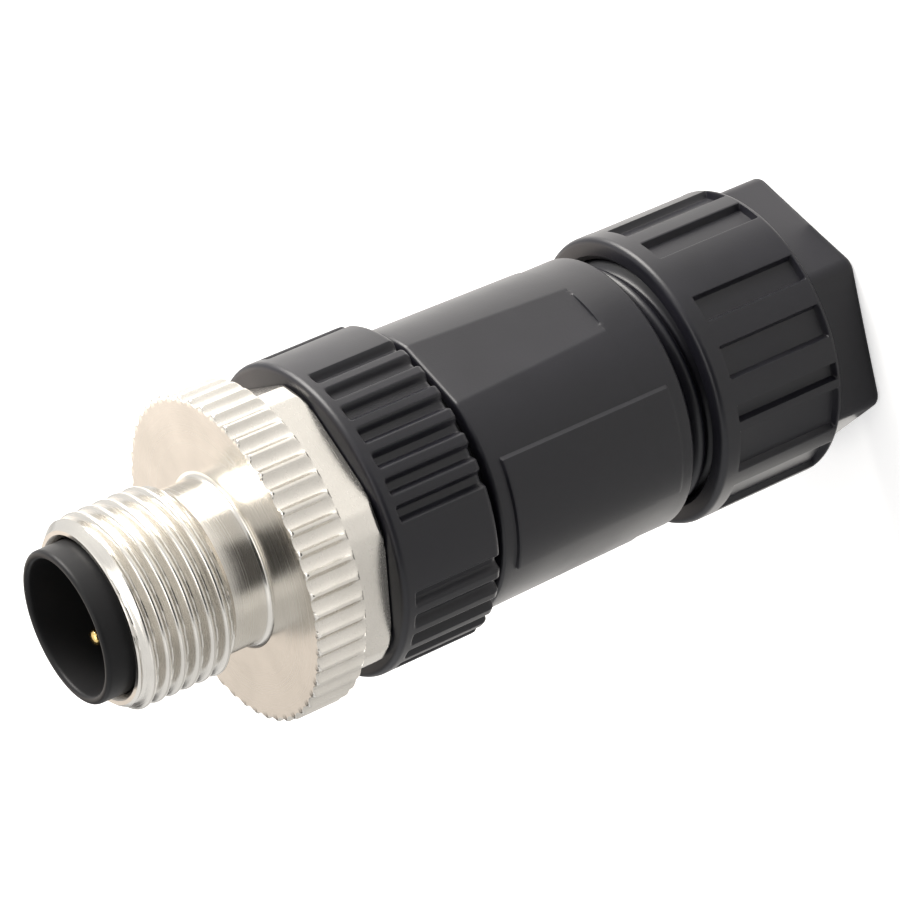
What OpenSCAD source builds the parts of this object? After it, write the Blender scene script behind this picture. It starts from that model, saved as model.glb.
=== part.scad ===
// Circular M12 cable connector, male, four contacts, with screw terminals and a clamping cable gland.
// It stands on the flat rear face of its gland nut, at Z = 0, with the contact pins pointing up along +Z.
// The coding key of the plug face lies towards -Y. All lengths are millimetres.

/* [Coupling screw] */
// Major diameter of the coupling thread
thread_d = 12; // [11.6:0.1:12.6]
// Length of the coupling thread
thread_len = 6.7; // [6:0.1:8]
// Length of the plain neck between thread and knurl
neck_len = 2.4; // [2:0.1:3]
// Diameter of that neck
neck_d = 10.4; // [10.2:0.1:11]
// Wall left in the neck round the shroud
neck_wall = 0.37; // [0.3:0.01:0.5]
// Diameter of the knurled disc
knurl_d = 20.5; // [20:0.1:22]
// Thickness of the knurled disc
knurl_len = 3.4; // [2.8:0.1:4.5]
// Number of flutes round the knurled disc
knurl_flutes = 50; // [40:1:54]
// Depth of one flute
flute_depth = 0.34; // [0.2:0.02:0.4]
// Radius of the cutter that leaves a flute
flute_r = 0.62; // [0.5:0.02:0.7]
// Width across flats of the spanner hexagon
screw_af = 17; // [16.6:0.1:17.4]
// How far the hexagon's turned corners stay inside the knurled disc
screw_corner_inset = 0.8; // [0.6:0.1:1.2]
// Height of that hexagon
screw_hex_len = 2.5; // [2:0.1:4]
// How far the coupling screw is turned at rest, degrees
screw_turn = 38.6; // [0:0.1:59]
// How far the knurled disc stands proud of the collar
knurl_proud = 0.3; // [0.1:0.05:0.6]

/* [Plug face] */
// Wall of the shroud round the pins
shroud_wall = 0.45; // [0.4:0.05:0.6]
// How far the shroud stands out of the coupling screw
shroud_reach = 1.6; // [1:0.1:2.5]
// Thickness of the floor behind the shroud's cavity
shroud_floor = 0.7; // [0.5:0.1:1.2]
// Width of the coding key inside the shroud
key_w = 1.5; // [1:0.1:2]
// How far the key stands in from the shroud's wall
key_h = 0.7; // [0.5:0.05:0.9]
// How far the key's end stays below the shroud's rim
key_recess = 0.6; // [0.3:0.1:1]
// Diameter of the insert's spigot behind the shroud
spigot_d = 7.8; // [7.4:0.1:8.2]
// Circle that the pins stand on
pin_circle_d = 5; // [4.8:0.05:5]
// Diameter of a contact pin
pin_d = 1; // [0.8:0.05:1.1]
// How far the pin tips stay below the shroud's rim
pin_recess = 2.3; // [1.5:0.1:3]
// Diameter of a contact's shank inside the insert
shank_d = 1.5; // [1.3:0.05:1.6]
// How far the shank ends below the floor of the shroud's cavity
shank_recess = 1.5; // [1:0.1:2]

/* [Terminals] */
// Diameter of the terminal block
block_d = 12; // [11.6:0.1:12.2]
// Length of the terminal block
block_len = 16.2; // [15:0.1:17]
// Width of a contact's clamping block
clamp_w = 2.3; // [2.1:0.05:2.4]
// Height of a contact's clamping block
clamp_len = 4.6; // [4:0.1:5.4]
// From the pin's axis to the block's face nearest to the middle
clamp_in_step = 1; // [0.9:0.05:1.1]
// From the pin's axis to the block's outer face
clamp_out_step = 2.1; // [1.9:0.05:2.3]
// Diameter of the wire hole in a clamping block
wire_d = 1.5; // [1:0.1:1.6]
// Solid metal left above the wire hole
wire_stop = 0.6; // [0.4:0.1:1]
// How far the funnel before the wire hole opens, on the radius
wire_funnel = 0.45; // [0.3:0.05:0.5]
// How far the clamping blocks sit inside the terminal block
wire_lead = 1.2; // [0.8:0.1:1.6]
// Shank diameter of a terminal screw
terminal_screw_d = 1.6; // [1.4:0.05:1.8]
// Head diameter of a terminal screw
terminal_head_d = 2.2; // [2:0.05:2.6]
// Head height of a terminal screw
terminal_head_len = 0.9; // [0.7:0.05:1.1]
// Width of the slot in that head
terminal_slot_w = 0.3; // [0.2:0.05:0.5]

/* [Collar] */
// Height of the collar's grip
collar_len = 6.9; // [6:0.1:8.5]
// Number of grooved sectors round the collar
collar_sectors = 4; // [3:1:4]
// Grooves in one sector
collar_grooves = 7; // [5:1:7]
// Angle from one groove to the next
collar_pitch = 9.7; // [9:0.1:10]
// Depth of a groove
collar_groove_depth = 0.5; // [0.3:0.05:0.6]
// Width of a groove at its floor
collar_floor_w = 0.45; // [0.3:0.05:0.7]
// Width of a groove at its mouth
collar_mouth_w = 1.15; // [0.9:0.05:1.3]
// Height of the plain rim that closes the grooves in front
collar_rim = 0.8; // [0.5:0.1:1.5]
// Bevel of the collar's front edge
collar_bevel = 0.4; // [0.2:0.1:0.6]
// Thickness of the neck's wall under the seal ring, in from the spigot's surface
collar_neck_step = 0.32; // [0.2:0.02:0.4]
// Thickness of the web that carries the insert
web_len = 3; // [2.4:0.1:3.4]
// Length of the threaded spigot that screws into the housing
collar_thread_len = 5.2; // [4.4:0.1:6]
// Diameter of that spigot
collar_thread_d = 14.74; // [14.5:0.02:15]
// Space between collar and housing, where the seal ring shows
seal_gap = 0.7; // [0.4:0.1:1]

/* [Housing] */
// How far the housing widens from its rear band to its front edge, on the radius
housing_taper = 0.25; // [0.1:0.05:0.5]
// Diameter of the housing at its rear band
housing_rear_d = 17.6; // [17.4:0.1:18]
// Height of the housing
housing_len = 14.4; // [13:0.1:18]
// Height of the round band at its rear end
rear_band = 3; // [2:0.1:4]
// How far the housing's flats lie inside its rear band
flat_depth = 0.15; // [0.05:0.05:0.3]
// How far the grip panels stand up from the housing
panel_rise = 0.14; // [0.08:0.02:0.2]
// Plain margin before and behind a grip panel
panel_margin = 1; // [0.6:0.1:2]
// How far the housing's body stands proud of the rear band
body_rise = 0.08; // [0.04:0.02:0.12]
// Free length behind the collar's thread
thread_relief = 0.6; // [0.4:0.1:1]
// Diameter of the wiring space
cavity_d = 14; // [13.4:0.1:14.4]
// Diameter of the rear threaded nipple
nipple_d = 15.8; // [15.4:0.1:16]
// Wall of that nipple
nipple_wall = 2; // [1.8:0.1:2.2]
// Height of the shoulder that the cable seal meets
stop_len = 1.3; // [1:0.1:2]
// Clearance round the cable in that shoulder
stop_clear = 1.5; // [1:0.1:2]
// Space between the housing and the gland nut
nut_gap = 1.7; // [1:0.1:2.5]

/* [Cable gland] */
// Diameter of the cable that the seal is made for
cable_d = 6; // [5:0.1:6.2]
// How far the gland nut stands proud of the housing's rear band
nut_proud = 0.6; // [0.3:0.05:0.9]
// Height of the nut's ribbed part
nut_grip_len = 9.2; // [8.6:0.1:11]
// Depth of the nut's grip grooves
nut_groove_depth = 0.5; // [0.3:0.05:0.6]
// Height of the hexagon at the nut's rear end
nut_hex_len = 3.4; // [2.8:0.1:3.6]
// Width across flats of that hexagon
nut_af = 16; // [15.6:0.1:16.4]
// Corner radius of that hexagon
nut_corner_r = 0.8; // [0.4:0.1:1.2]
// How far the gland nut is turned at rest, degrees
nut_turn = 55.4; // [0:0.1:59]
// Thickness of the nut's rear wall
nut_floor = 1.6; // [1.2:0.1:2]
// Plain rim of the nut in front of its grooves
nut_front_rim = 1.3; // [1:0.1:2]
// Plain rim of the nut behind its grooves
nut_rear_rim = 0.3; // [0.2:0.1:0.6]
// Clearance of the nut round the cable
nut_clear = 0.4; // [0.3:0.1:0.6]
// Clearance of the clamp cage round the cable
cage_clear = 0.5; // [0.4:0.1:0.7]
// Thickness of the slip washer
washer_len = 0.55; // [0.4:0.05:0.8]
// Number of fingers on the clamp cage
fingers = 8; // [6:1:10]
// Length of a finger
finger_len = 2.2; // [2:0.1:2.6]
// Width of the slot between two fingers
finger_slot = 0.7; // [0.4:0.1:1]
// Solid length at the root of a finger
finger_root = 0.2; // [0.1:0.05:0.4]
// How far a finger's outer face rises from the nipple's bore, at its root
finger_rise = 0.45; // [0.3:0.05:0.6]
// How far a finger's tip stays inside the slip washer
finger_inset = 0.2; // [0.1:0.05:0.4]
// How far the slip washer stays inside the nipple's bore
washer_inset = 0.5; // [0.4:0.05:0.7]
// How far the cone over the fingers opens beyond the nipple's bore
cone_rise = 1; // [0.8:0.1:1.2]
// Thickness of the clamp cage's flange
cage_flange = 0.7; // [0.5:0.05:1]
// How far that flange stays inside the nipple's surface
flange_inset = 0.5; // [0.3:0.1:0.8]
// Length of the clamp cage's ring inside the nipple
cage_ring_len = 0.9; // [0.6:0.1:1.2]
// Length of the cable seal
cable_seal_len = 5.7; // [5:0.1:6.4]

/* [Fits] */
// Radial clearance of a part that turns in another
running_fit = 0.08; // [0.05:0.01:0.1]
// Space between two faces that seat on each other
seat_gap = 0.05; // [0.03:0.01:0.1]
// Radial clearance of a pressed or bonded piece
press_gap = 0.02; // [0.01:0.01:0.03]
// End play of the coupling screw
screw_play = 0.1; // [0.05:0.01:0.2]

/* [Edges and seals] */
// Chamfer of moulded edges
chamfer = 0.3; // [0.2:0.05:0.4]
// Bevel of the moulded rear edges of collar and terminal block
wide_bevel = 0.4; // [0.3:0.05:0.5]
// Rounding cone on the shroud's rim
shroud_rim = 0.16; // [0.1:0.02:0.2]
// Bevel behind the screw's hexagon
hex_bevel = 0.4; // [0.2:0.1:0.6]
// Rear chamfer of the knurled disc
knurl_rear_bevel = 0.3; // [0.2:0.05:0.5]
// Front chamfer of the knurled disc
knurl_front_bevel = 0.2; // [0.1:0.05:0.4]
// Chamfer at the thread's free end
thread_bevel = 0.6; // [0.4:0.05:0.7]
// Thickness of both seal rings
seal_section = 0.94; // [0.86:0.02:1]
// Thickness of the retaining ring
clip_len = 0.6; // [0.5:0.05:0.8]
// Depth of its groove
clip_groove_depth = 0.3; // [0.2:0.05:0.35]
// How far the retaining ring stands out of the insert
clip_reach = 1.1; // [0.8:0.1:1.3]
// Length of the insert behind the retaining ring
clip_end = 0.75; // [0.5:0.05:1]
// From the knurled disc's front face up to the shoulder inside the screw
shoulder_up = 1.1; // [0.8:0.1:1.5]

/* [Hidden] */

plastic = [0.17, 0.17, 0.18];
rubber = [0.08, 0.08, 0.09];
nickel = [0.82, 0.79, 0.73];
gold = [0.86, 0.68, 0.32];
steel = [0.62, 0.63, 0.65];

$fn = 96;
eps = 0.01;
cut = 1; // how far a cutter runs past the face it opens
half_turn = 180;
flute_phase = 1.2;

// Gland, from the rear face up
washer_z = nut_floor + seat_gap;
finger_z = washer_z + washer_len + seat_gap;
flange_z = finger_z + finger_len;
nipple_z = flange_z + cage_flange + seat_gap;
cable_seal_z = nipple_z + cage_ring_len + seat_gap;
stop_z = cable_seal_z + cable_seal_len + seat_gap; // shoulder in the housing that the cable seal meets
nut_d = housing_rear_d + 2 * nut_proud;
nut_top = nut_hex_len + nut_grip_len;

// Housing and collar
housing_z = nut_top + nut_gap;
housing_top = housing_z + housing_len;
housing_front_d = housing_rear_d + 2 * housing_taper;
housing_flats = housing_rear_d - 2 * flat_depth; // from one flat to the other
collar_z = housing_top + seal_gap;
collar_top = collar_z + collar_len;
web_z = collar_top - web_len;
collar_d = knurl_d - 2 * knurl_proud;
seal_neck_d = collar_thread_d - 2 * collar_neck_step; // neck on the collar that carries the housing seal
seal_neck_len = seal_section + 2 * seat_gap;
seal_seat_depth = seal_neck_len - seal_gap + seat_gap; // counterbore in the housing's front end

// Coupling screw
screw_corner_d = knurl_d - 2 * screw_corner_inset;
screw_z = collar_top + screw_play;
knurl_z = screw_z + screw_hex_len;
neck_z = knurl_z + knurl_len;
thread_z = neck_z + neck_len;
screw_top = thread_z + thread_len;
shoulder_z = neck_z + shoulder_up;

// Insert and contacts
shroud_d = neck_d - 2 * (neck_wall + running_fit);
shroud_bore_d = shroud_d - 2 * shroud_wall;
insert_top = screw_top + shroud_reach;
step_z = shoulder_z + screw_play;
shroud_z = step_z + shroud_floor;
clip_groove_len = clip_len + 2 * seat_gap;
clip_z = web_z - seat_gap - clip_len;
clip_d = spigot_d + 2 * clip_reach;
spigot_z = clip_z - clip_end;
shank_top = shroud_z - shank_recess;
block_top = web_z - seat_gap;
block_z = block_top - block_len;
clamp_z = block_z + wire_lead;
clamp_top = clamp_z + clamp_len;
clamp_in = pin_circle_d / 2 - clamp_in_step;
clamp_out = pin_circle_d / 2 + clamp_out_step;
terminal_screw_z = clamp_z + clamp_len / 2;
terminal_tip = pin_circle_d / 2 + wire_d / 2 + seat_gap;
pin_tip_z = insert_top - pin_recess;
pin_angles = [-45, 45, 135, 225];

// Cable passage
cage_bore_d = cable_d + 2 * cage_clear;
nut_bore_d = cable_d + 2 * nut_clear;
gland_bore_d = nipple_d - 2 * nipple_wall; // bore of the nipple, round the cable seal
washer_d = gland_bore_d - 2 * washer_inset;
pocket_d = washer_d + 4 * running_fit;

// Grip grooves of the gland nut over half a turn: [middle, width] in degrees from a corner of its hexagon.
// The other half repeats them.
nut_grooves = [[66, 10], [44, 12], [24, 6], [7.5, 18], [-20, 19], [-40, 9], [-61.5, 12], [-82, 11]];

// Flats and grip panels of the housing: direction of the first one, the second lies opposite
flat_dir = -37.5;
panel_dir = -103.5;
panel_angle = 47;
collar_sector_dir = -53.6;

// Straight tube standing on z
module tube(d, bore, z, h) {
    translate([0, 0, z]) difference() {
        cylinder(d = d, h = h);
        translate([0, 0, -cut]) cylinder(d = bore, h = h + 2 * cut);
    }
}

// Ring of round section that lies at height z round a shaft
module seal_ring(shaft_d, z) {
    r = seal_section / 2;
    translate([0, 0, z]) rotate_extrude() translate([shaft_d / 2 + press_gap + r, 0]) circle(r = r, $fn = 32);
}

// Disc with both rims chamfered
module rimmed_disc(d, z, h, bottom, top) {
    translate([0, 0, z]) rotate_extrude() polygon([
        [0, 0], [d / 2 - bottom, 0], [d / 2, bottom], [d / 2, h - top], [d / 2 - top, h], [0, h]]);
}

// Opening of diameter d from z up, with a lead-in cone at its mouth
module mouth_down(d, z, lead) {
    translate([0, 0, z - eps]) cylinder(d1 = d + 2 * lead, d2 = d, h = lead + eps);
}

// Hexagonal prism with a corner on +X and its corners rounded
module round_hexagon(af, r, z, h) {
    corner = (af / 2 - r) / cos(30);
    translate([0, 0, z]) linear_extrude(h) polygon([for (i = [0:5]) for (side = [-30, 30])
        [corner * cos(60 * i) + r * cos(60 * i + side), corner * sin(60 * i) + r * sin(60 * i + side)]]);
    for (i = [0:5]) rotate(60 * i) translate([corner, 0, z]) cylinder(r = r, h = h, $fn = 48);
}

module gland_nut() {
    grip_r = nut_d / 2;
    pocket_top = finger_z;
    thread_bore = nipple_d + 2 * running_fit;
    color(plastic) rotate(nut_turn) difference() {
        union() {
            intersection() {
                round_hexagon(nut_af, nut_corner_r, 0, nut_hex_len + cut);
                rimmed_disc(nut_d, 0, nut_hex_len + cut, chamfer, 0);
            }
            rimmed_disc(nut_d, nut_hex_len, nut_grip_len, chamfer, chamfer);
        }
        // grip grooves with flat floors, closed by a rim at each end
        for (half = [0, half_turn], g = nut_grooves) rotate(g[0] + half) {
            w = 2 * grip_r * sin(g[1] / 2);
            translate([grip_r - nut_groove_depth, -w / 2, nut_hex_len + nut_rear_rim])
                cube([cut, w, nut_grip_len - nut_front_rim - nut_rear_rim]);
        }
        // cable hole, washer pocket, cone over the fingers, thread bore
        translate([0, 0, -cut]) cylinder(d = nut_bore_d, h = nut_floor + 2 * cut);
        mouth_down(nut_bore_d, 0, wide_bevel);
        translate([0, 0, nut_floor]) cylinder(d = pocket_d, h = pocket_top - nut_floor + eps);
        translate([0, 0, pocket_top])
            cylinder(d1 = pocket_d, d2 = gland_bore_d + 2 * cone_rise, h = flange_z - pocket_top);
        translate([0, 0, flange_z - seat_gap])
            cylinder(d = thread_bore, h = nut_top - flange_z + cut);
        translate([0, 0, nut_top - chamfer])
            cylinder(d1 = thread_bore, d2 = thread_bore + 2 * chamfer, h = chamfer + eps);
    }
}

module slip_washer() {
    color(steel) tube(washer_d, nut_bore_d, washer_z, washer_len);
}

module clamp_cage() {
    bore_r = cage_bore_d / 2;
    tip_r = washer_d / 2 - finger_inset;
    root_r = gland_bore_d / 2 + finger_rise;
    flange_r = nipple_d / 2 - flange_inset;
    ring_r = gland_bore_d / 2 - running_fit;
    flange_top = flange_z + cage_flange;
    ring_top = nipple_z + cage_ring_len;
    color(plastic) difference() {
        // fingers that taper towards the nut's rear wall, flange on the nipple's end, ring inside the nipple
        rotate_extrude() polygon([
            [bore_r, finger_z], [tip_r, finger_z], [root_r, flange_z], [flange_r, flange_z],
            [flange_r, flange_top], [ring_r, flange_top], [ring_r, ring_top], [bore_r, ring_top]]);
        for (i = [0:fingers - 1]) rotate(360 * i / fingers)
            translate([0, -finger_slot / 2, finger_z - cut])
                cube([nipple_d, finger_slot, finger_len - finger_root + cut]);
    }
}

module cable_seal() {
    outer = gland_bore_d - 2 * running_fit;
    color(rubber) difference() {
        rimmed_disc(outer, cable_seal_z, cable_seal_len, chamfer, 2 * chamfer);
        translate([0, 0, cable_seal_z - cut]) cylinder(d = cable_d, h = cable_seal_len + 2 * cut);
        mouth_down(cable_d, cable_seal_z, chamfer);
    }
}

module housing() {
    r_front = housing_front_d / 2;
    r_rear = housing_rear_d / 2;
    body_z = housing_z + rear_band;
    r_body = r_rear + body_rise; // the body draws in from its front edge to here
    r_root = cavity_d / 2 + chamfer; // inner side of a grip panel, inside the wall
    panel_top = housing_len - panel_margin;
    seal_seat_d = seal_neck_d + 2 * (press_gap + seal_section) + 4 * running_fit;
    thread_bore = collar_thread_d + 2 * running_fit;
    thread_depth = collar_thread_len - seal_gap + thread_relief;
    color(plastic) difference() {
        union() {
            difference() {
                translate([0, 0, body_z - eps]) rotate_extrude() polygon([
                    [0, 0], [r_body, 0], [r_front, housing_top - body_z - chamfer],
                    [r_front - chamfer, housing_top - body_z + eps], [0, housing_top - body_z + eps]]);
                for (side = [0, half_turn]) rotate(flat_dir + side)
                    translate([housing_flats / 2, -r_front, body_z - cut])
                        cube([r_front, 2 * r_front, housing_len + cut]);
            }
            rimmed_disc(housing_rear_d, housing_z, rear_band, chamfer, 0);
            for (side = [0, half_turn]) rotate(panel_dir - panel_angle / 2 + side)
                translate([0, 0, housing_z]) rotate_extrude(angle = panel_angle) polygon([
                    [r_root, panel_margin], [r_rear + panel_rise, panel_margin],
                    [r_front + panel_rise, panel_top], [r_root, panel_top]]);
            translate([0, 0, nipple_z]) cylinder(d = nipple_d, h = housing_z - nipple_z + eps);
        }
        translate([0, 0, nipple_z - cut]) cylinder(d = gland_bore_d, h = stop_z - nipple_z + cut);
        translate([0, 0, nipple_z])
            cylinder(d = cable_d + 2 * stop_clear, h = stop_z - nipple_z + stop_len + cut);
        translate([0, 0, stop_z + stop_len]) cylinder(d = cavity_d, h = housing_top);
        translate([0, 0, housing_top - thread_depth]) cylinder(d = thread_bore, h = thread_depth + cut);
        translate([0, 0, housing_top - seal_seat_depth]) cylinder(d = seal_seat_d, h = seal_seat_depth + cut);
    }
}

module housing_seal() {
    color(rubber) seal_ring(seal_neck_d, collar_z - seat_gap - seal_section / 2);
}

module collar() {
    grip_r = collar_d / 2;
    floor_r = grip_r - collar_groove_depth;
    half_floor = collar_floor_w / 2;
    half_mouth = collar_mouth_w / 2;
    first_groove = collar_sector_dir - collar_pitch * (collar_grooves - 1) / 2;
    color(plastic) difference() {
        union() {
            rimmed_disc(collar_d, collar_z, collar_len, wide_bevel, collar_bevel);
            translate([0, 0, collar_z - collar_thread_len])
                cylinder(d = collar_thread_d, h = collar_thread_len + eps);
        }
        // sectors of tapered grooves, open towards the housing and closed by a front rim
        for (s = [0:collar_sectors - 1], g = [0:collar_grooves - 1])
            rotate(first_groove + 360 * s / collar_sectors + collar_pitch * g)
                translate([0, 0, collar_z - cut]) linear_extrude(collar_len + cut - collar_rim) polygon([
                    [floor_r, -half_floor], [grip_r, -half_mouth], [grip_r + cut, -half_mouth],
                    [grip_r + cut, half_mouth], [grip_r, half_mouth], [floor_r, half_floor]]);
        // neck for the housing seal
        tube(collar_d, seal_neck_d, collar_z - seal_neck_len, seal_neck_len);
        // pocket of the terminal block, bore of the insert, seat of the insert seal
        translate([0, 0, collar_z - collar_thread_len - cut])
            cylinder(d = block_d + 2 * seat_gap, h = web_z - collar_z + collar_thread_len + cut);
        translate([0, 0, web_z - cut]) cylinder(d = spigot_d + 2 * seat_gap, h = web_len + 2 * cut);
        translate([0, 0, collar_top - seal_section - seat_gap])
            cylinder(d = spigot_d + 2 * (seal_section + 2 * seat_gap), h = seal_section + cut);
    }
}

module insert_seal() {
    color(rubber) seal_ring(spigot_d, collar_top - seal_section / 2 - press_gap);
}

module retaining_ring() {
    groove_d = spigot_d - 2 * clip_groove_depth;
    color(steel) difference() {
        tube(clip_d, groove_d + 2 * press_gap, clip_z, clip_len);
        rotate(90) translate([0, -groove_d / 3, clip_z - cut])
            cube([clip_d, 2 * groove_d / 3, clip_len + 2 * cut]);
    }
}

module contact_insert() {
    color(plastic) difference() {
        union() {
            rimmed_disc(shroud_d, step_z, insert_top - step_z, screw_play, shroud_rim);
            translate([0, 0, spigot_z]) cylinder(d = spigot_d, h = step_z - spigot_z + eps);
        }
        // cavity with a lead-in, and the coding key left standing in it
        difference() {
            translate([0, 0, shroud_z]) cylinder(d = shroud_bore_d, h = insert_top);
            translate([-key_w / 2, -shroud_d / 2, shroud_z - cut])
                cube([key_w, shroud_wall + key_h, insert_top - shroud_z - key_recess + cut]);
        }
        translate([0, 0, insert_top - shroud_rim])
            cylinder(d1 = shroud_bore_d, d2 = shroud_bore_d + 2 * shroud_rim, h = shroud_rim + eps);
        for (a = pin_angles) rotate(a) translate([pin_circle_d / 2, 0, 0]) {
            translate([0, 0, spigot_z - cut]) cylinder(d = pin_d + 2 * press_gap, h = insert_top, $fn = 32);
            translate([0, 0, spigot_z - cut])
                cylinder(d = shank_d + 2 * press_gap, h = shank_top - spigot_z + cut, $fn = 32);
        }
        tube(spigot_d + cut, spigot_d - 2 * clip_groove_depth, clip_z - seat_gap, clip_groove_len);
    }
}

module terminal_block() {
    color(plastic) difference() {
        rimmed_disc(block_d, block_z, block_len, wide_bevel, 0);
        // pocket for the insert's end and its retaining ring
        translate([0, 0, spigot_z - seat_gap]) cylinder(d = clip_d + 4 * seat_gap, h = block_top);
        for (a = pin_angles) rotate(a) {
            translate([pin_circle_d / 2, 0, block_z])
                cylinder(d = shank_d + 2 * press_gap, h = block_len, $fn = 32);
            translate([clamp_in - press_gap, -clamp_w / 2 - press_gap, clamp_z - seat_gap])
                cube([clamp_out - clamp_in + 2 * press_gap, clamp_w + 2 * press_gap,
                    clamp_len + 2 * seat_gap]);
            translate([pin_circle_d / 2, 0, block_z - eps])
                cylinder(d1 = wire_d + 2 * wire_funnel, d2 = wire_d, h = wire_lead, $fn = 32);
            // way in for the terminal screw and its driver
            translate([pin_circle_d / 2, 0, terminal_screw_z]) rotate([0, 90, 0])
                cylinder(d = terminal_head_d + 2 * running_fit, h = block_d, $fn = 48);
        }
    }
}

// One contact: pin, shank and clamping block, at its place on the pin circle
module contact_pin(a) {
    point = pin_d / 4;
    color(gold) rotate(a) difference() {
        union() {
            translate([pin_circle_d / 2, 0, 0]) {
                translate([0, 0, clamp_top - eps])
                    cylinder(d = shank_d, h = shank_top - clamp_top - seat_gap, $fn = 32);
                translate([0, 0, clamp_top]) cylinder(d = pin_d, h = pin_tip_z - point - clamp_top, $fn = 32);
                translate([0, 0, pin_tip_z - point])
                    cylinder(d1 = pin_d, d2 = pin_d - 2 * point, h = point, $fn = 32);
            }
            translate([clamp_in, -clamp_w / 2, clamp_z]) cube([clamp_out - clamp_in, clamp_w, clamp_len]);
        }
        translate([pin_circle_d / 2, 0, clamp_z - cut])
            cylinder(d = wire_d, h = clamp_len - wire_stop + cut, $fn = 32);
        translate([pin_circle_d / 2, 0, terminal_screw_z]) rotate([0, 90, 0])
            cylinder(d = terminal_screw_d + 2 * running_fit, h = block_d, $fn = 32);
    }
}

// One terminal screw, its axis square to the connector's and its slotted head outwards
module terminal_screw(a) {
    head_x = clamp_out + seat_gap;
    color(steel) rotate(a) translate([0, 0, terminal_screw_z]) difference() {
        union() {
            translate([terminal_tip, 0, 0]) rotate([0, 90, 0])
                cylinder(d = terminal_screw_d, h = head_x - terminal_tip + eps, $fn = 32);
            translate([head_x, 0, 0]) rotate([0, 90, 0])
                cylinder(d = terminal_head_d, h = terminal_head_len, $fn = 48);
        }
        translate([head_x + terminal_head_len / 2, -terminal_head_d, -terminal_slot_w / 2])
            cube([cut, 2 * terminal_head_d, terminal_slot_w]);
    }
}

module coupling_screw() {
    knurl_r = knurl_d / 2;
    bore = shroud_d + 2 * running_fit;
    color(nickel) difference() {
        union() {
            // hexagon with turned corners and a bevelled rear edge
            rotate(screw_turn) intersection() {
                translate([0, 0, screw_z]) cylinder(d = screw_af / cos(30), h = screw_hex_len + eps, $fn = 6);
                rimmed_disc(screw_corner_d, screw_z, screw_hex_len + eps, hex_bevel, 0);
            }
            rimmed_disc(knurl_d, knurl_z, knurl_len, knurl_rear_bevel, knurl_front_bevel);
            translate([0, 0, neck_z - eps]) cylinder(d = neck_d, h = neck_len + 2 * eps);
            rimmed_disc(thread_d, thread_z, thread_len, (thread_d - neck_d) / 2, thread_bevel);
        }
        for (i = [0:knurl_flutes - 1]) rotate(360 * i / knurl_flutes + flute_phase)
            translate([knurl_r - flute_depth + flute_r, 0, knurl_z - eps])
                cylinder(r = flute_r, h = knurl_len + cut, $fn = 24);
        translate([0, 0, screw_z - cut]) cylinder(d = spigot_d + 2 * running_fit, h = screw_top - screw_z);
        translate([0, 0, shoulder_z]) cylinder(d = bore, h = screw_top);
        translate([0, 0, screw_top - chamfer])
            cylinder(d1 = bore, d2 = bore + 2 * chamfer, h = chamfer + eps);
    }
}

gland_nut();
slip_washer();
clamp_cage();
cable_seal();
housing();
housing_seal();
collar();
insert_seal();
retaining_ring();
contact_insert();
terminal_block();
contact_pin(pin_angles[0]);  // contact_pin_1
contact_pin(pin_angles[1]);  // contact_pin_2
contact_pin(pin_angles[2]);  // contact_pin_3
contact_pin(pin_angles[3]);  // contact_pin_4
terminal_screw(pin_angles[0]);  // terminal_screw_1
terminal_screw(pin_angles[1]);  // terminal_screw_2
terminal_screw(pin_angles[2]);  // terminal_screw_3
terminal_screw(pin_angles[3]);  // terminal_screw_4
coupling_screw();
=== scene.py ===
"""Look of a circular M12 cable connector, standing on its gland nut with the pins up. Sizes are millimetres in the
formulas and metres in the scene; the axis of the connector is the Z axis."""

from math import pi, radians

import bpy
import numpy as np
from mathutils import Matrix, Vector


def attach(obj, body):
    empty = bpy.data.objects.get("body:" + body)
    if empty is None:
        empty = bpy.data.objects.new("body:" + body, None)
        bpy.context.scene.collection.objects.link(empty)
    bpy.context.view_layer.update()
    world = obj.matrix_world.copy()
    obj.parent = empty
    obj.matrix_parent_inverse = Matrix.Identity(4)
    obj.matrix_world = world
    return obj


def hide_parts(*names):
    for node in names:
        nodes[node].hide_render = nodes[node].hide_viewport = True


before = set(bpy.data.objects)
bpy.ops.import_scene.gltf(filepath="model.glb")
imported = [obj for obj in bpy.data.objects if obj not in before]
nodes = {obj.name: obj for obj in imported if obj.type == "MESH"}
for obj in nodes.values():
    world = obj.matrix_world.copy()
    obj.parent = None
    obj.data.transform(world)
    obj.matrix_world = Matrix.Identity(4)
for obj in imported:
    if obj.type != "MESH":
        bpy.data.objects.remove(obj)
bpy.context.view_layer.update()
MM = 0.001

# Heights along the axis, in mm from the rear face of the gland nut up
NUT_HEX_TOP = 3.4
NUT_TOP = 12.6
NIPPLE_Z = 5.2
STOP_Z, STOP_TOP = 11.9, 13.2
HOUSING_Z, BODY_Z, HOUSING_TOP = 14.3, 17.3, 28.7
SPIGOT_Z, COLLAR_Z, COLLAR_TOP = 24.2, 29.4, 36.3
SCREW_Z, KNURL_Z, NECK_Z, THREAD_Z, SCREW_TOP = 36.4, 38.9, 42.3, 44.7, 51.4
INSERT_FLOOR, PIN_TIP, SHROUD_TOP = 44.3, 50.7, 53.0

FINE = 0.06  # distance between rows of points on a rounded edge
SHARP_ANGLE = 38  # degrees between two faces from which their edge stays sharp


# ---------------------------------------------------------------- form

def smooth(x):
    """Step from 0 to 1 with soft ends: 3x^2 - 2x^3."""
    x = np.clip(x, 0, 1)
    return x * x * (3 - 2 * x)


def rounding(distance, radius):
    """How far an edge rounded to this radius falls in, at a distance from its end: R - sqrt(R^2 - (R - d)^2)."""
    d = np.clip(distance, 0, radius)
    return radius - np.sqrt(np.maximum(radius**2 - (radius - d) ** 2, 0))


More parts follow.
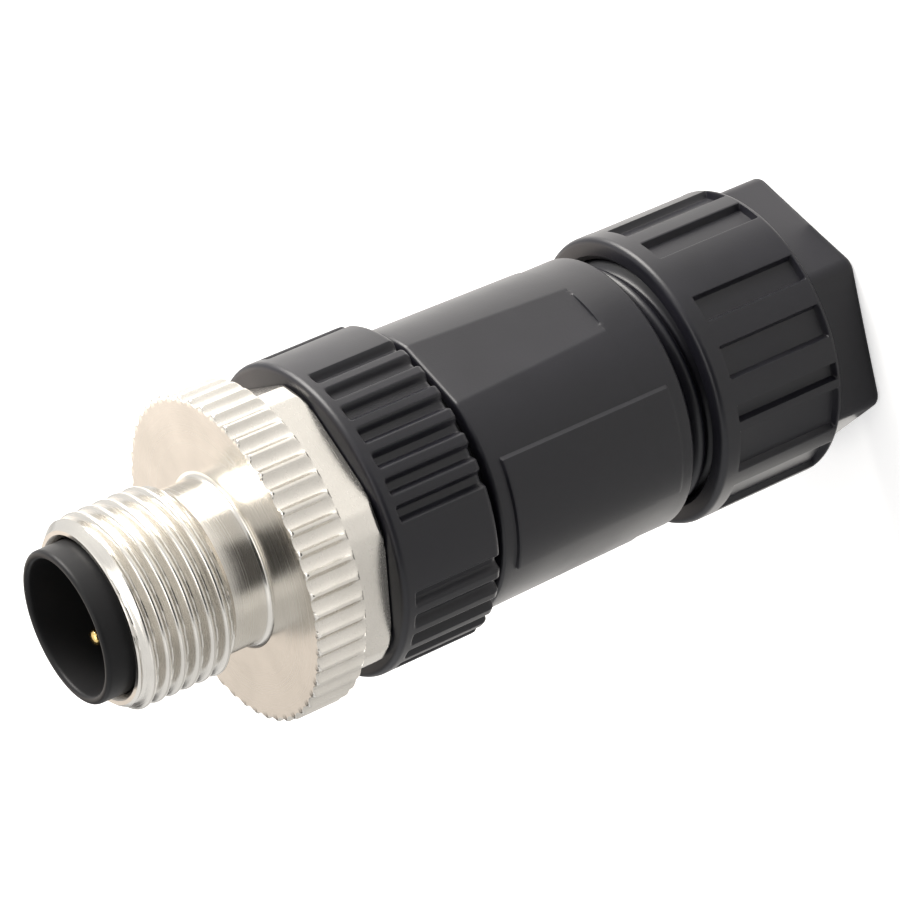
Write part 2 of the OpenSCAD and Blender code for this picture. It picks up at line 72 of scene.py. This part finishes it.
def from_angle(theta, middle):
    """Signed angle from middle (degrees) to theta (radians), wrapped to half a turn: (theta - middle + pi) mod 2 pi,
    less pi."""
    return (theta - radians(middle) + pi) % (2 * pi) - pi


def opposite(theta, middle):
    """Angle to the nearer of middle (degrees) and the point opposite, never negative: half of |2 theta - 2 middle|."""
    return np.abs(from_angle(2 * theta, 2 * middle)) / 2


def flat_at(apothem, angle):
    """Radius of a flat, at an angle from its middle: apothem / cos. Past 0.5 radians it stays the same."""
    return apothem / np.cos(np.minimum(angle, 0.5))


def hexagon(theta, across_flats, turn, corner_r):
    """Radius of a hexagon with a corner at turn degrees: apothem / cos on its flats, a circle of corner_r round each
    corner."""
    apothem = across_flats / 2
    d = np.abs((theta - radians(turn) + pi / 6) % (pi / 3) - pi / 6)
    centre = (apothem - corner_r) / np.cos(pi / 6)
    reach = np.arctan2(corner_r * np.sin(pi / 6), centre + corner_r * np.cos(pi / 6))
    bow = np.sqrt(np.maximum(corner_r**2 - (centre * np.sin(d)) ** 2, 0))
    return np.where(d < reach, centre * np.cos(d) + bow, apothem / np.cos(pi / 6 - d))


def helix(theta, z, root, crest, pitch):
    """Right-hand thread: a triangular wave of z / pitch - theta / 2 pi, with its root and crest a little flattened."""
    flat, fullness = 0.08, 0.8
    wave = np.abs(2 * ((z / pitch - theta / (2 * pi)) % 1) - 1)
    return root + (crest - root) * smooth((wave - flat) / (1 - 2 * flat)) ** fullness


def rows(low, high, fine, margin, coarse):
    """Heights from low to high, at steps of fine within margin of both ends and of coarse between them."""
    near = np.arange(0, margin, fine)
    middle = np.linspace(low + margin, high - margin, max(2, int(round((high - low - 2 * margin) / coarse)) + 1))
    return np.concatenate([low + near, middle, (high - near)[::-1]])


def shell(sections, inner, columns):
    """Points and faces of a tube round Z. Each section is (heights, radius of theta and height), from the bottom up,
    and inner lists (radius, height) from the top down. Rows close on themselves both ways, so the shell has no edge."""
    theta = np.linspace(0, 2 * pi, columns, endpoint=False)
    rings = []
    for heights, radius in sections:
        t, z = np.meshgrid(theta, heights)
        r = radius(t, z) + 0 * t
        rings.append(np.stack([r * np.cos(t), r * np.sin(t), z], axis=-1))
    for r, z in inner:
        rings.append(np.stack([r * np.cos(theta), r * np.sin(theta), z + 0 * theta], axis=-1)[None])
    grid = np.concatenate(rings)
    count = len(grid)
    i, j = np.meshgrid(np.arange(count), np.arange(columns), indexing="ij")
    up, on = (i + 1) % count, (j + 1) % columns
    faces = np.stack([i * columns + j, i * columns + on, up * columns + on, up * columns + j], axis=-1)
    return grid.reshape(-1, 3) * MM, faces.reshape(-1, 4)


def piece(name, shells, body, node, material):
    """One object made of one or more shells, with smooth faces between sharp edges. It stands for the node, unless
    that is None."""
    points, faces, first = [], [], 0
    for p, f in shells:
        points.append(p)
        faces.append(f + first)
        first += len(p)
    points, faces = np.concatenate(points), np.concatenate(faces)
    mesh = bpy.data.meshes.new(name)
    mesh.vertices.add(len(points))
    mesh.vertices.foreach_set("co", points.astype(np.float32).ravel())
    mesh.loops.add(faces.size)
    mesh.loops.foreach_set("vertex_index", faces.astype(np.int32).ravel())
    mesh.polygons.add(len(faces))
    mesh.polygons.foreach_set("loop_start", np.arange(0, faces.size, 4, dtype=np.int32))
    mesh.update(calc_edges=True)
    mesh.polygons.foreach_set("use_smooth", np.ones(len(faces), bool))
    mesh.set_sharp_from_angle(angle=radians(SHARP_ANGLE))
    mesh.materials.append(material)
    obj = bpy.data.objects.new(name, mesh)
    bpy.context.scene.collection.objects.link(obj)
    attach(obj, body)
    if node:
        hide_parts(node)


# ---------------------------------------------------------------- materials

def node_group(name, outputs):
    """An empty node group with the given outputs, all numbers, and its output node."""
    group = bpy.data.node_groups.new(name, "ShaderNodeTree")
    for label in outputs:
        group.interface.new_socket(label, in_out="OUTPUT", socket_type="NodeSocketFloat")
    return group, group.nodes.new("NodeGroupOutput")


def noise(tree, vector, scale, detail=3.0):
    """Fractal noise of vector times scale, mostly between 0.3 and 0.7."""
    n = tree.nodes.new("ShaderNodeTexNoise")
    n.inputs["Scale"].default_value = scale
    n.inputs["Detail"].default_value = detail
    tree.links.new(vector, n.inputs["Vector"])
    return n.outputs["Fac"]


def maths(tree, operation, a, b=0):
    """The operation on a and b, each a number or a socket."""
    n = tree.nodes.new("ShaderNodeMath")
    n.operation = operation
    for socket, value in zip(n.inputs, (a, b)):
        if isinstance(value, (int, float)):
            socket.default_value = value
        else:
            tree.links.new(value, socket)
    return n.outputs[0]


def spread(tree, value, low, high):
    """The value's middle range, from 0.3 to 0.7, carried to low..high."""
    n = tree.nodes.new("ShaderNodeMapRange")
    tree.links.new(value, n.inputs["Value"])
    n.inputs["From Min"].default_value, n.inputs["From Max"].default_value = 0.3, 0.7
    n.inputs["To Min"].default_value, n.inputs["To Max"].default_value = low, high
    return n.outputs["Result"]


def blend_colours(tree, factor, a, b):
    """Colour a times (1 - factor), plus b times factor."""
    n = tree.nodes.new("ShaderNodeMix")
    n.data_type = "RGBA"
    tree.links.new(factor, n.inputs[0])
    n.inputs[6].default_value, n.inputs[7].default_value = (*a, 1), (*b, 1)
    return n.outputs[2]


def turned_group():
    """Turning marks round the Z axis: noise of (marks_per_m r, marks_per_m z), with r = sqrt(x^2 + y^2), which doesn't
    change with the angle."""
    marks_per_m, clouds_per_m = 16000, 260.0
    group, out = node_group("turning_marks", ("Mask", "Cloud"))
    where = group.nodes.new("ShaderNodeTexCoord").outputs["Object"]
    split = group.nodes.new("ShaderNodeSeparateXYZ")
    group.links.new(where, split.inputs[0])
    x, y, z = split.outputs
    r = maths(group, "SQRT", maths(group, "ADD", maths(group, "MULTIPLY", x, x), maths(group, "MULTIPLY", y, y)))
    join = group.nodes.new("ShaderNodeCombineXYZ")
    group.links.new(maths(group, "MULTIPLY", r, marks_per_m), join.inputs[0])
    group.links.new(maths(group, "MULTIPLY", z, marks_per_m), join.inputs[1])
    group.links.new(noise(group, join.outputs[0], 1.0, 2.0), out.inputs["Mask"])
    group.links.new(noise(group, where, clouds_per_m, 4.0), out.inputs["Cloud"])
    return group


def grain_group():
    """Fine spark-eroded grain of moulded plastic, and a slow cloudiness."""
    grains_per_m, clouds_per_m = 9000.0, 180.0
    group, out = node_group("moulded_grain", ("Grain", "Cloud"))
    where = group.nodes.new("ShaderNodeTexCoord").outputs["Object"]
    group.links.new(noise(group, where, grains_per_m, 2.0), out.inputs["Grain"])
    group.links.new(noise(group, where, clouds_per_m), out.inputs["Cloud"])
    return group


TURNED = turned_group()
GRAIN = grain_group()
BUMP_DEPTH = 0.00001  # metres


def new_material(name, effect):
    """A new material with the node group `effect` beside its shader: material, tree, shader, outputs of the group."""
    m = bpy.data.materials.new(name)
    m.use_nodes = True
    tree = m.node_tree
    use = tree.nodes.new("ShaderNodeGroup")
    use.node_tree = effect
    return m, tree, tree.nodes["Principled BSDF"], use.outputs


def add_bump(tree, shader, height, strength):
    """Tilts the shader's normal by the slope of height times BUMP_DEPTH."""
    b = tree.nodes.new("ShaderNodeBump")
    b.inputs["Strength"].default_value = strength
    b.inputs["Distance"].default_value = BUMP_DEPTH
    tree.links.new(height, b.inputs["Height"])
    tree.links.new(b.outputs["Normal"], shader.inputs["Normal"])


def metal(name, light, dark, rough, marks):
    """Plated metal: two tones in clouds, turning marks in the roughness and, faintly, in the surface."""
    m, tree, shader, out = new_material(name, TURNED)
    shader.inputs["Metallic"].default_value = 1.0
    tree.links.new(blend_colours(tree, spread(tree, out["Cloud"], 0, 1), dark, light), shader.inputs["Base Color"])
    tree.links.new(spread(tree, out["Mask"], rough[0], rough[1]), shader.inputs["Roughness"])
    add_bump(tree, shader, out["Mask"], marks)
    return m


def polymer(name, light, dark, rough, grain, specular=0.5):
    """Moulded plastic or rubber: two close tones in clouds, uneven gloss and a fine grain."""
    m, tree, shader, out = new_material(name, GRAIN)
    shader.inputs["Specular IOR Level"].default_value = specular
    tree.links.new(blend_colours(tree, spread(tree, out["Cloud"], 0, 1), dark, light), shader.inputs["Base Color"])
    tree.links.new(spread(tree, out["Cloud"], rough[0], rough[1]), shader.inputs["Roughness"])
    add_bump(tree, shader, out["Grain"], grain)
    return m


nickel = metal("nickel_plate", light=(0.72, 0.69, 0.64), dark=(0.62, 0.595, 0.55), rough=(0.19, 0.29), marks=0.10)
gold = metal("gold_plate", light=(0.90, 0.66, 0.26), dark=(0.82, 0.58, 0.22), rough=(0.16, 0.24), marks=0.1)
steel = metal("zinc_steel", light=(0.62, 0.63, 0.65), dark=(0.54, 0.55, 0.57), rough=(0.28, 0.40), marks=0.2)
black = polymer("black_plastic", light=(0.0075, 0.0072, 0.0115), dark=(0.0050, 0.0050, 0.0080), rough=(0.36, 0.46),
                grain=0.35, specular=0.42)
satin = polymer("insert_plastic", light=(0.018, 0.018, 0.019), dark=(0.013, 0.013, 0.014), rough=(0.38, 0.46),
                grain=0.2, specular=0.14)
inner = polymer("inner_plastic", light=(0.060, 0.060, 0.064), dark=(0.048, 0.048, 0.052), rough=(0.48, 0.58),
                grain=0.3)
rubber = polymer("black_rubber", light=(0.020, 0.020, 0.021), dark=(0.014, 0.014, 0.015), rough=(0.62, 0.75),
                 grain=0.4, specular=0.3)

finishes = {"coupling_screw": nickel, "contact_insert": satin, "terminal_block": inner, "slip_washer": steel,
            "retaining_ring": steel, "insert_seal": rubber, "housing_seal": rubber, "cable_seal": rubber}
for name, node in nodes.items():
    finish = gold if name.startswith("contact_pin") else steel if name.startswith("terminal_screw") else black
    for place in node.material_slots:
        place.material = finishes.get(name, finish)


# ---------------------------------------------------------------- pieces, all sizes in mm

def screw_shells():
    """Coupling screw: a spanner hexagon with turned corners, a fluted disc, and an undercut neck with the M12 thread.

    A flute is the near side of a circle of radius f whose centre, at radius c, lies outside the rim:
    c cos d - sqrt(f^2 - (c sin d)^2). A cone cuts the helix of the thread off at either end.
    """
    bore_r, seat_r, seat_top, lead_in = 4.83, 3.98, 43.4, 0.3
    neck_r, neck_fillet, root_r, crest_r, mouth_r, pitch = 5.2, 0.35, 5.42, 6.0, 5.38, 1.0
    disc_r, disc_rear_edge, disc_front_edge, recess_r, ring_radii = 10.25, 0.5, 0.22, 9.2, (9.72, 9.55)
    flutes, flute_r, flute_depth, flute_turn = 50, 0.62, 0.34, 1.2
    hex_flats, hex_turn, hex_edge, hex_turned_r, hex_chamfer = 17.0, 38.6, 0.3, 9.45, 0.5
    hex_top, neck_low, thread_row = KNURL_Z + 0.05, NECK_Z - 0.1, 0.05

    def threaded(t, z):
        """The neck with its fillet, then the helix, no further out than the cones at its ends."""
        neck = neck_r + rounding(z - NECK_Z, neck_fillet)
        ends = np.minimum(mouth_r + (SCREW_TOP - z), neck_r + (z - THREAD_Z))
        return np.where(z < THREAD_Z, neck, np.minimum(helix(t, z, root_r, crest_r, pitch), ends))

    def fluted(t, z):
        """The smaller of the rim, rounded at both edges, and the flute."""
        half = pi / flutes
        d = (t - radians(flute_turn) + half) % (2 * half) - half
        centre = disc_r - flute_depth + flute_r
        bow = np.sqrt(np.maximum(flute_r**2 - (centre * np.sin(d)) ** 2, 0))
        flute = np.where(bow > 0, centre * np.cos(d) - bow, disc_r)
        return np.minimum(disc_r - rounding(z - KNURL_Z, disc_rear_edge) - rounding(NECK_Z - z, disc_front_edge), flute)

    def spanner(t, z):
        """The smaller of the hexagon and the turned circle, rounded at the rear."""
        return np.minimum(hexagon(t, hex_flats, hex_turn, hex_edge), hex_turned_r - rounding(z - SCREW_Z, hex_chamfer))

    thread_rows = np.concatenate([rows(neck_low, THREAD_Z, thread_row, margin=0.4, coarse=0.4),
                                  np.arange(THREAD_Z, SCREW_TOP, thread_row), [SCREW_TOP]])
    return [
        shell([(rows(SCREW_Z, hex_top, FINE, margin=0.48, coarse=0.4), spanner)],
              [(seat_r, hex_top), (seat_r, SCREW_Z)], columns=360),
        shell([(rows(KNURL_Z, NECK_Z, FINE, margin=0.5, coarse=0.4), fluted)],
              [(r, NECK_Z) for r in (*ring_radii, seat_r)] + [(seat_r, KNURL_Z), (recess_r, KNURL_Z)], columns=800),
        shell([(thread_rows, threaded)],
              [(bore_r + lead_in, SCREW_TOP), (bore_r, SCREW_TOP - lead_in), (bore_r, seat_top), (seat_r, seat_top),
               (seat_r, neck_low)], columns=192),
    ]


def collar_shell():
    """Collar: grip ring with four sectors of seven tapered grooves, above the spigot that screws into the housing.

    Each groove takes depth times a smooth step of the distance from its middle off the radius. The spigot's helix
    starts in a cone."""
    grip_r, grip_edge, rim, rim_flank = 9.95, 0.4, 0.8, 0.22
    groove_depth, groove_half, groove_flank, groove_step = 0.5, 0.60, 0.40, 9.7
    sectors, grooves, first_sector = 4, 7, -53.6
    root_r, crest_r, pitch, neck_r, thread_top = 6.95, 7.37, 1.0, 7.05, 28.36
    front_r, insert_r, ring_top, seat_top, block_r = 4.94, 3.95, 35.31, 33.3, 6.05

    def spigot(t, z):
        """The smaller of the helix and the cone at its start."""
        return np.minimum(helix(t, z, root_r, crest_r, pitch), root_r + (z - SPIGOT_Z))

    def grip(t, z):
        """The ring, rounded at both edges, less its grooves, which end below the rim."""
        r = grip_r - rounding(z - COLLAR_Z, grip_edge) - rounding(COLLAR_TOP - z, grip_edge)
        end = smooth((COLLAR_TOP - rim - z) / rim_flank)
        for sector in range(sectors):
            for g in range(grooves):
                middle = first_sector + 360 / sectors * sector + groove_step * (g - (grooves - 1) / 2)
                across = np.abs(from_angle(t, middle)) * grip_r
                r = r - groove_depth * end * smooth((groove_half - across) / groove_flank)
        return r

    return shell([(np.arange(SPIGOT_Z, thread_top, 0.1), spigot), ([thread_top, COLLAR_Z], lambda t, z: neck_r),
                  (rows(COLLAR_Z, COLLAR_TOP, FINE, margin=1.1, coarse=0.5), grip)],
                 [(front_r, COLLAR_TOP), (front_r, ring_top), (insert_r, ring_top), (insert_r, seat_top),
                  (block_r, seat_top), (block_r, SPIGOT_Z)], columns=900)


def housing_shell():
    """Housing: body with two flats and two raised grip panels, a round rear band, and the threaded nipple.

    The body is a slight cone, cut by its flats at apothem / cos. A panel adds its height times one smooth step for
    each of its four edges."""
    root_r, crest_r, pitch = 7.3, 7.9, 1.5
    band_r, body_r, taper, edge = 8.8, 8.88, 0.17, 0.3
    flat_apothem, flat_middle = 8.65, -37.5
    panel_middle, panel_half, panel_low, panel_top, panel_height, panel_edge = -103.5, 23.5, 15.3, 27.7, 0.2, 0.12
    panel_r, outside_edge, inside_edge = 8.9, 0.02, 0.14
    collar_bore_r, collar_bore_z, spigot_bore_r, spigot_bore_z, block_bore_r = 8.17, 28.31, 7.45, 23.6, 7.0
    stop_r, cage_bore_r = 4.5, 5.9

    def nipple(t, z):
        """The smaller of the helix and the cone at its start."""
        return np.minimum(helix(t, z, root_r, crest_r, pitch), root_r + (z - NIPPLE_Z))

    def body(t, z):
        """The round band, or above it the cone with its flats; then plus the panels, less the edges."""
        share = (z - BODY_Z) / (HOUSING_TOP - BODY_Z)
        cone = np.minimum(body_r + taper * share, flat_at(flat_apothem, opposite(t, flat_middle)))
        r = np.where(z < BODY_Z, band_r, cone)
        side = opposite(t, panel_middle)
        raised = smooth((radians(panel_half) - side) * panel_r / panel_edge + 0.5)
        raised = raised * smooth((z - panel_low) / panel_edge) * smooth((panel_top - z) / panel_edge)
        return r + panel_height * raised - rounding(z - HOUSING_Z, edge) - rounding(HOUSING_TOP - z, edge)

    body_rows = np.unique(np.concatenate([rows(HOUSING_Z, HOUSING_TOP, FINE, margin=0.3, coarse=0.5),
                                          np.linspace(panel_low - outside_edge, panel_low + inside_edge, 5),
                                          np.linspace(panel_top - inside_edge, panel_top + outside_edge, 5),
                                          [BODY_Z - outside_edge, BODY_Z + outside_edge]]))
    return shell([(np.arange(NIPPLE_Z, HOUSING_Z, 0.1), nipple), (body_rows, body)],
                 [(collar_bore_r, HOUSING_TOP), (collar_bore_r, collar_bore_z), (spigot_bore_r, collar_bore_z),
                  (spigot_bore_r, spigot_bore_z), (block_bore_r, spigot_bore_z), (block_bore_r, STOP_TOP),
                  (stop_r, STOP_TOP), (stop_r, STOP_Z), (cage_bore_r, STOP_Z), (cage_bore_r, NIPPLE_Z)], columns=540)


def nut_shell():
    """Gland nut: spanner hexagon with rounded corners, then a grip with flat-floored grooves of different widths.

    A groove cuts the radius down to its floor, apothem / cos, times smooth steps at its sides and ends."""
    grooves = [(66, 10), (44, 12), (24, 6), (7.5, 18), (-20, 19), (-40, 9), (-61.5, 12), (-82, 11)]  # middle, width
    turn, hex_flats, hex_corner_r, hex_edge = 55.4, 16.0, 0.9, 0.45
    grip_r, rear_edge, front_edge, edge_row, floor_apothem, groove_edge = 9.4, 0.35, 0.4, 0.07, 8.9, 0.16
    groove_low, groove_top, end_edge = 3.72, 11.35, 0.15
    end_rows = (np.linspace(3.7, 3.9, 6), np.linspace(11.18, 11.38, 6))  # across the ends of the grooves
    mouth_r, thread_bore_r, mouth_z, bore_z = 8.28, 7.98, 12.3, 4.4
    cage_r, washer_r, washer_top, washer_z, cable_r, cable_z, lead_in = 6.88, 5.56, 2.25, 1.6, 3.4, 0.4, 0.4

    def spanner(t, z):
        """The hexagon, rounded at the rear."""
        return hexagon(t, hex_flats, turn, hex_corner_r) - rounding(z, hex_edge)

    def grip(t, z):
        """The ring, rounded at both edges, less what stands above the floor of each groove."""
        r = grip_r - rounding(z - NUT_HEX_TOP, rear_edge) - rounding(NUT_TOP - z, front_edge)
        along = smooth((z - groove_low) / end_edge) * smooth((groove_top - z) / end_edge)
        for middle, width in grooves:
            side = opposite(t, middle + turn)
            inside = smooth((radians(width / 2) - side) * grip_r / groove_edge + 0.5) * along
            r = r - np.maximum(r - flat_at(floor_apothem, side), 0) * inside
        return r

    grip_rows = np.unique(np.concatenate([rows(NUT_HEX_TOP, NUT_TOP, edge_row, margin=0.42, coarse=0.6), *end_rows]))
    return shell([(rows(0, NUT_HEX_TOP, edge_row, margin=0.5, coarse=0.5), spanner), (grip_rows, grip)],
                 [(mouth_r, NUT_TOP), (thread_bore_r, mouth_z), (thread_bore_r, bore_z), (cage_r, bore_z),
                  (washer_r, washer_top), (washer_r, washer_z), (cable_r, washer_z), (cable_r, cable_z),
                  (cable_r + lead_in, 0.0)], columns=900)


def lip_shell():
    """Lining of the shroud: gives its rim the rounded edge of the moulding, and widens smoothly towards its floor."""
    outer_r, inner_r, outer_edge, inner_edge, widening = 4.76, 4.22, 0.24, 0.26, 0.1
    high, straight_z, wide_z, narrow_z = SHROUD_TOP + 0.01, 49.5, 44.5, 47

    def inside(z):
        """Radius of the bore, wider at its floor and rounded at its mouth."""
        return inner_r + widening * smooth((narrow_z - z) / (narrow_z - wide_z)) + rounding(high - z, inner_edge)

    top = np.array([0.0, 0.01, 0.03, 0.07, 0.12, 0.19, 0.28, 0.4, 1.2])
    return shell([(np.concatenate([[INSERT_FLOOR, narrow_z], (high - top)[::-1]]),
                   lambda t, z: outer_r - rounding(high - z, outer_edge))],
                 [(float(inside(high - d)), high - d) for d in top]
                 + [(inner_r, straight_z), (inner_r + widening, INSERT_FLOOR)], columns=240)


def tip_shell(angle):
    """Turned tip of a contact, at an angle round Z: cosine grooves 0.03 deep below a round end.

    The end's radius is r (1 - 0.9 f), with f = 1 - sqrt(1 - u^2) and u rising from 0 to 1 over its length."""
    circle_r, tip_r, axis_r, length, reach = 2.5, 0.51, 0.03, 0.95, 0.2
    end, groove_from, groove_pitch, groove_depth, fall = 0.3, 0.35, 0.2, 0.03, 0.9
    high = PIN_TIP + reach
    low = high - length

    def outside(t, z):
        """Radius of the tip: its round end less its grooves."""
        below = high - z
        wave = (1 - np.cos(2 * pi * (below - groove_from) / groove_pitch)) / 2
        bowed = 1 - np.sqrt(1 - np.clip(1 - below / end, 0, 1) ** 2)
        return np.maximum(tip_r * (1 - fall * bowed) - np.where(below > groove_from, groove_depth * wave, 0), axis_r)

    heights = np.concatenate([np.linspace(low, high - end, 23)[:-1], high - end * np.cos(np.linspace(0, pi / 2, 13))])
    points, faces = shell([(heights, outside)], [(axis_r, high), (axis_r, low)], columns=48)
    place = circle_r * np.array([np.cos(radians(angle)), np.sin(radians(angle)), 0]) * MM
    return points + place, faces


piece("turned_screw", screw_shells(), "coupling_screw", "coupling_screw", nickel)
piece("grooved_collar", [collar_shell()], "contact_carrier", "collar", black)
piece("panelled_housing", [housing_shell()], "housing", "housing", black)
piece("grooved_nut", [nut_shell()], "gland_nut", "gland_nut", black)
piece("shroud_lip", [lip_shell()], "contact_carrier", None, satin)
piece("contact_tips", [tip_shell(a) for a in (-45, 45, 135, 225)], "contact_carrier", None, gold)


# ---------------------------------------------------------------- camera, light and floor, in metres and degrees

MIDDLE = Vector((0, 0, 0.026))
SKY_ON_SURFACES, SKY_SEEN = 0.38, 1.0  # the white sky's strength as a light, and to the eye and in reflections
FLOOR_HALF, FLOOR_GLOW = 4, 0.55


def camera_at(azimuth, elevation, roll, distance, aim, lens):
    """The camera, at a distance from its aim: it stands on -Y, rises by the elevation, goes round Z by the azimuth and
    rolls about its own axis."""
    data = bpy.data.cameras.new("camera")
    data.lens, data.sensor_width, data.sensor_fit = lens, 36.0, "HORIZONTAL"
    data.clip_start, data.clip_end = 0.01, 20.0
    cam = bpy.data.objects.new("camera", data)
    bpy.context.scene.collection.objects.link(cam)
    cam.matrix_world = (Matrix.Rotation(radians(azimuth), 4, "Z") @ Matrix.Translation(aim)
                        @ Matrix.Rotation(radians(90 - elevation), 4, "X") @ Matrix.Rotation(radians(roll), 4, "Z")
                        @ Matrix.Translation((0, 0, distance)))
    bpy.context.scene.camera = cam


def toward(azimuth, elevation):
    """Unit vector of a compass bearing and a height angle: (cos e cos a, cos e sin a, sin e)."""
    a, e = radians(azimuth), radians(elevation)
    return Vector((np.cos(e) * np.cos(a), np.cos(e) * np.sin(a), np.sin(e)))


def area_lamp(name, azimuth, elevation, distance, size, power, colour=(1, 1, 1)):
    """A square lamp at a distance from the middle of the connector, which it looks at."""
    data = bpy.data.lights.new(name, "AREA")
    data.size, data.energy, data.color = size, power, colour
    lamp = bpy.data.objects.new(name, data)
    bpy.context.scene.collection.objects.link(lamp)
    way = toward(azimuth, elevation)
    lamp.location = MIDDLE + distance * way
    lamp.rotation_euler = way.to_track_quat("Z", "Y").to_euler()


def square(half):
    """Corners of a flat square round its middle."""
    return [(-half, -half, 0), (half, -half, 0), (half, half, 0), (-half, half, 0)]


def card(name, place, way, size, colour, slope=0.0):
    """A square card, facing along `way`, that shows in reflections only.

    Its glow is its colour times (1 + slope times the distance from its middle along its own X), never below 0.
    """
    mesh = bpy.data.meshes.new(name)
    mesh.from_pydata(square(size / 2), [], [(0, 1, 2, 3)])
    m = bpy.data.materials.new(name)
    m.use_nodes = True
    tree = m.node_tree
    glow = tree.nodes["Principled BSDF"]
    glow.inputs["Base Color"].default_value = (0, 0, 0, 1)
    glow.inputs["Specular IOR Level"].default_value = 0
    glow.inputs["Emission Color"].default_value = (*colour, 1)
    parts = tree.nodes.new("ShaderNodeSeparateXYZ")
    tree.links.new(tree.nodes.new("ShaderNodeTexCoord").outputs["Object"], parts.inputs[0])
    strength = maths(tree, "ADD", maths(tree, "MULTIPLY", parts.outputs["X"], slope), 1.0)
    tree.links.new(maths(tree, "MAXIMUM", strength, 0.0), glow.inputs["Emission Strength"])
    mesh.materials.append(m)
    obj = bpy.data.objects.new(name, mesh)
    bpy.context.scene.collection.objects.link(obj)
    obj.location = place
    obj.rotation_euler = way.to_track_quat("Z", "Y").to_euler()
    obj.visible_camera = obj.visible_diffuse = obj.visible_shadow = obj.visible_transmission = False


camera_at(azimuth=16.7, elevation=27.0, roll=-113.45, distance=0.2525, aim=(0.0006, 0, 0.0258), lens=168.3)
area_lamp("key", azimuth=13, elevation=10, distance=0.48, size=0.36, power=7.0, colour=(1.0, 0.97, 0.92))
area_lamp("front", azimuth=-60, elevation=78, distance=0.60, size=0.40, power=0.9, colour=(1.0, 0.96, 0.92))
area_lamp("side", azimuth=-130, elevation=30, distance=0.70, size=0.50, power=0.25)
# cards that only reflections show: a dark one behind the camera, a warm one across from it, and a bright one lying
# on the floor beside the connector, which lights up the plastic near its upper outline
card("dark_card", place=MIDDLE + 0.42 * toward(-92, 30), way=toward(-92, 30), size=0.48, colour=(0.02, 0.02, 0.02))
card("warm_card", place=MIDDLE + 0.60 * toward(106.7, 27), way=toward(106.7, 27), size=0.50,
     colour=(1.14, 1.03, 0.93), slope=-5.0)
card("floor_card", place=Vector((0.02, 0.07, 0.0003)), way=Vector((0, 0, 1)), size=0.15, colour=(2.1, 2.04, 1.95))

world = bpy.data.worlds.new("studio")
bpy.context.scene.world = world
world.use_nodes = True
tree = world.node_tree
path = tree.nodes.new("ShaderNodeLightPath").outputs
seen = maths(tree, "MAXIMUM", maths(tree, "MAXIMUM", path["Is Camera Ray"], path["Is Glossy Ray"]),
             path["Is Transmission Ray"])
lit = tree.nodes["Background"]
lit.inputs["Color"].default_value, lit.inputs["Strength"].default_value = (1, 1, 1, 1), SKY_ON_SURFACES
white = tree.nodes.new("ShaderNodeBackground")
white.inputs["Color"].default_value, white.inputs["Strength"].default_value = (1, 1, 1, 1), SKY_SEEN
mix = tree.nodes.new("ShaderNodeMixShader")
tree.links.new(seen, mix.inputs[0])
tree.links.new(lit.outputs[0], mix.inputs[1])
tree.links.new(white.outputs[0], mix.inputs[2])
tree.links.new(mix.outputs[0], tree.nodes["World Output"].inputs["Surface"])

floor_mesh = bpy.data.meshes.new("floor")
floor_mesh.from_pydata(square(FLOOR_HALF), [], [(0, 1, 2, 3)])
floor = bpy.data.objects.new("floor", floor_mesh)
bpy.context.scene.collection.objects.link(floor)
paper = bpy.data.materials.new("white_paper")
paper.use_nodes = True
tree = paper.node_tree
shader = tree.nodes["Principled BSDF"]
shader.inputs["Roughness"].default_value = 0.9
where = tree.nodes.new("ShaderNodeTexCoord").outputs["Object"]
tree.links.new(blend_colours(tree, noise(tree, where, 3.0), (0.86, 0.86, 0.86), (0.88, 0.88, 0.88)),
               shader.inputs["Base Color"])
path = tree.nodes.new("ShaderNodeLightPath").outputs
shader.inputs["Emission Color"].default_value = (1, 1, 1, 1)
tree.links.new(maths(tree, "MULTIPLY", path["Is Camera Ray"], FLOOR_GLOW), shader.inputs["Emission Strength"])
floor_mesh.materials.append(paper)

bpy.context.scene.view_settings.view_transform = "Standard"
